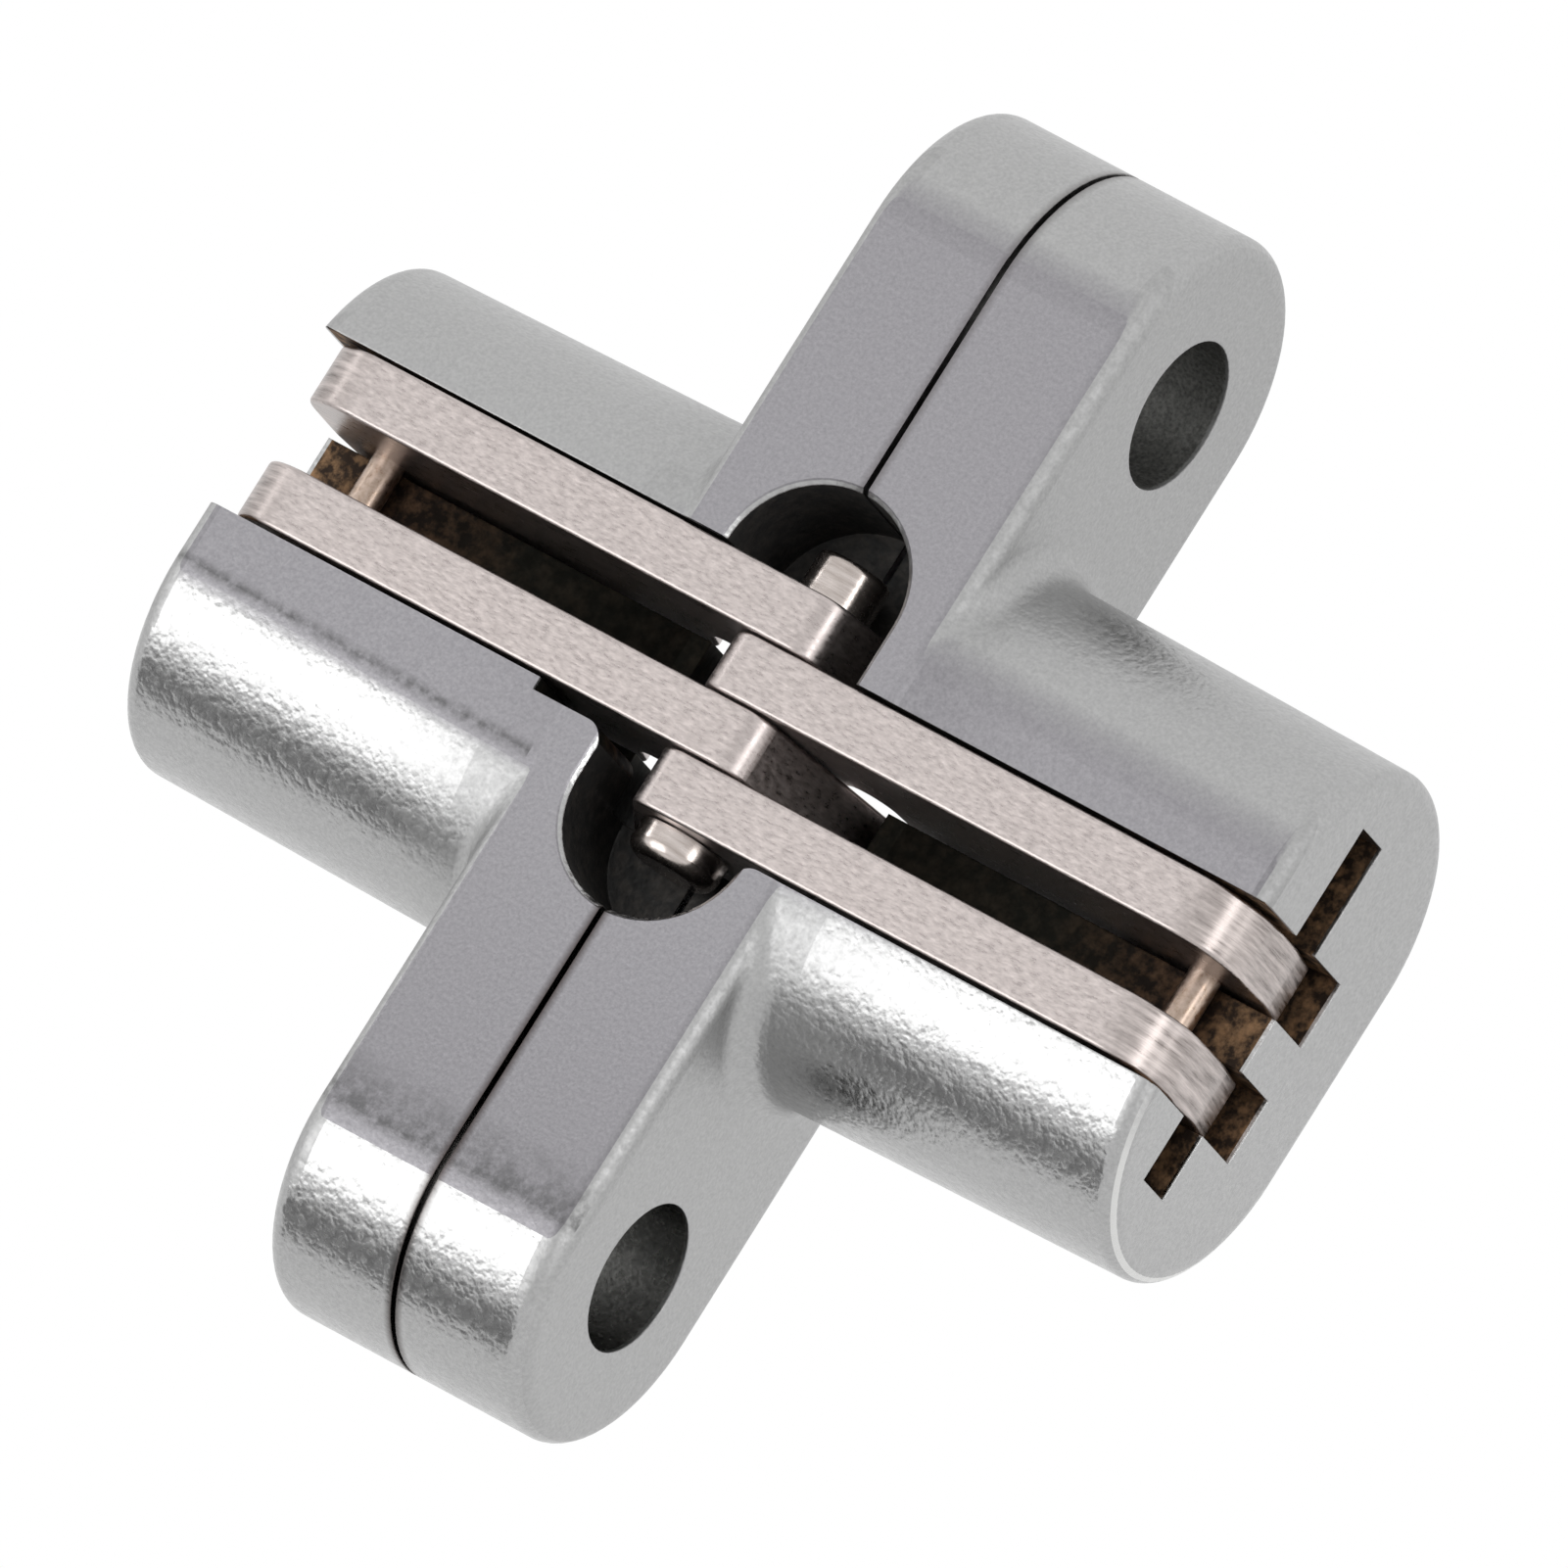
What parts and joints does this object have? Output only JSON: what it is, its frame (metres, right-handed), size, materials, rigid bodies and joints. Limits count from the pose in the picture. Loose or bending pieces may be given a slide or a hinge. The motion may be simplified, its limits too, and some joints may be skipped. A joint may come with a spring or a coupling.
{
  "type": "concealed hinge",
  "caption": "Small concealed door hinge: slim cast leaves with countersunk screw holes and deep slotted bodies, joined by crossed steel links that fold and slide inside them.",
  "frame": {"origin": "center of the bounding box of the closed hinge, on the parting plane between the leaves", "axes": "X across the parting plane with the door leaf on +X, +Y toward the side the leaves fold to, Z along the leaves and parallel to every pin"},
  "size_m": [0.0346, 0.01, 0.0392],
  "materials": {
    "leaf_casting": "satin plated zinc die casting with a fine matte grain",
    "link_steel": "flat ground sheet steel, brushed along its length",
    "rivet_steel": "turned steel, lightly polished head",
    "pin_steel": "drawn steel wire, oiled"
  },
  "bodies": {
    "frame": {"frame_leaf": "leaf_casting", "frame_pivot_pin": "pin_steel"},
    "frame_links": {"link_b1": "link_steel", "link_b2": "link_steel", "center_rivet": "rivet_steel", "door_slide_pin": "pin_steel"},
    "door_links": {"link_a1": "link_steel", "link_a2": "link_steel", "frame_slide_pin": "pin_steel"},
    "door": {"door_leaf": "leaf_casting", "door_pivot_pin": "pin_steel"}
  },
  "joints": [
    {"name": "frame_pivot", "type": "hinge", "parent": "frame", "child": "frame_links", "pos_m": [-0.002, 0.00175, 0], "axis": [0, 0, 1], "range_deg": [0, 140.31]},
    {"name": "center_pivot", "type": "hinge", "parent": "frame_links", "child": "door_links", "pos_m": [0, -0.0028, 0], "axis": [0, 0, 1], "range_deg": [-100.62, 0]},
    {"name": "door_pivot", "type": "hinge", "parent": "door_links", "child": "door", "pos_m": [0.002, 0.00175, 0], "axis": [0, 0, 1], "range_deg": [0, 140.31]}
  ],
  "couplings": [
    {"joint": "center_pivot", "follows": "frame_pivot", "ratio": -0.71713},
    {"joint": "door_pivot", "follows": "frame_pivot", "ratio": 1}
  ]
}
